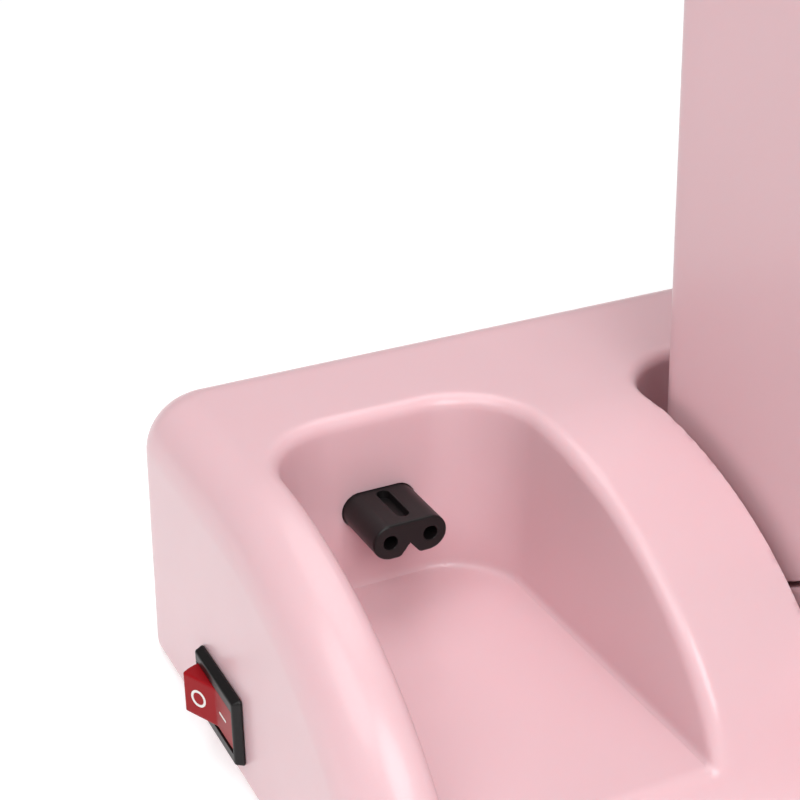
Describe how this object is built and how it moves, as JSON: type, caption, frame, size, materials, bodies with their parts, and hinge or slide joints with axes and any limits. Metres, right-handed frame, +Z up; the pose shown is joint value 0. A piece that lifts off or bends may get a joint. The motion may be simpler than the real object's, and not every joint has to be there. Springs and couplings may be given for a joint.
{
  "type": "donut maker",
  "caption": "Clamshell donut maker with ring cavities, standing in a power station with a rocker switch, a recessed accessory bay and a figure-eight outlet.",
  "frame": {"origin": "bottom centre of the whole object's box with the lid open", "axes": "+X to the right along the rear edge, +Y to the rear, +Z up"},
  "size_m": [0.3164, 0.3298, 0.2575],
  "materials": {
    "pink_plastic": "satin gloss moulded pink plastic",
    "black_plastic": "satin black plastic",
    "red_plastic": "gloss red plastic",
    "green_plastic": "gloss green plastic",
    "white_plastic": "matte off-white plastic",
    "nonstick_coating": "dark non-stick coating on cast aluminium",
    "steel": "brushed steel",
    "rubber": "matte rubber"
  },
  "bodies": {
    "station_and_base": {"station_shell": "pink_plastic", "station_bottom_cover": "pink_plastic", "station_foot_1": "rubber", "station_foot_2": "rubber", "station_foot_3": "rubber", "station_foot_4": "rubber", "station_screw_1": "steel", "station_screw_2": "steel", "station_screw_3": "steel", "station_screw_4": "steel", "joining_screw_1": "steel", "joining_screw_2": "steel", "outlet_connector": "black_plastic", "outlet_bracket": "black_plastic", "switch_frame": "black_plastic", "mains_inlet": "black_plastic", "terminal_block": "white_plastic", "wire_duct": "black_plastic", "heater_wire_1": "white_plastic", "heater_wire_2": "red_plastic", "lower_housing": "pink_plastic", "lower_bottom_cover": "pink_plastic", "front_foot_1": "rubber", "front_foot_2": "rubber", "base_screw_1": "steel", "base_screw_2": "steel", "lower_plate": "nonstick_coating", "lower_element": "steel", "lower_shield": "steel", "thermostat": "steel", "thermal_fuse": "white_plastic", "lower_plate_screw_1": "steel", "lower_plate_screw_2": "steel", "hinge_pin_left": "steel", "hinge_pin_right": "steel", "rest_pad_left": "rubber", "rest_pad_right": "rubber", "lower_handle": "black_plastic", "latch_pin": "steel"},
    "lid": {"lid_housing": "pink_plastic", "upper_plate": "nonstick_coating", "upper_element": "steel", "upper_shield": "steel", "upper_plate_screw_1": "steel", "upper_plate_screw_2": "steel", "lid_handle": "black_plastic", "power_lamp": "red_plastic", "ready_lamp": "green_plastic", "lamp_holder": "white_plastic"},
    "rocker": {"switch_rocker": "red_plastic"},
    "latch": {"latch_clip": "black_plastic"}
  },
  "joints": [
    {"name": "lid_hinge", "type": "hinge", "parent": "station_and_base", "child": "lid", "pos_m": [0.03704, 0.0621, 0.0425], "axis": [1, 0, 0], "range_deg": [0, 90]},
    {"name": "latch_pivot", "type": "hinge", "parent": "station_and_base", "child": "latch", "pos_m": [0.03704, -0.1569, 0.0335], "axis": [-1, 0, 0], "range_deg": [0, 180]},
    {"name": "switch_rock", "type": "hinge", "parent": "station_and_base", "child": "rocker", "pos_m": [-0.15271, 0.1136, 0.0139], "axis": [0, 0, -1], "range_deg": [0, 26]}
  ]
}
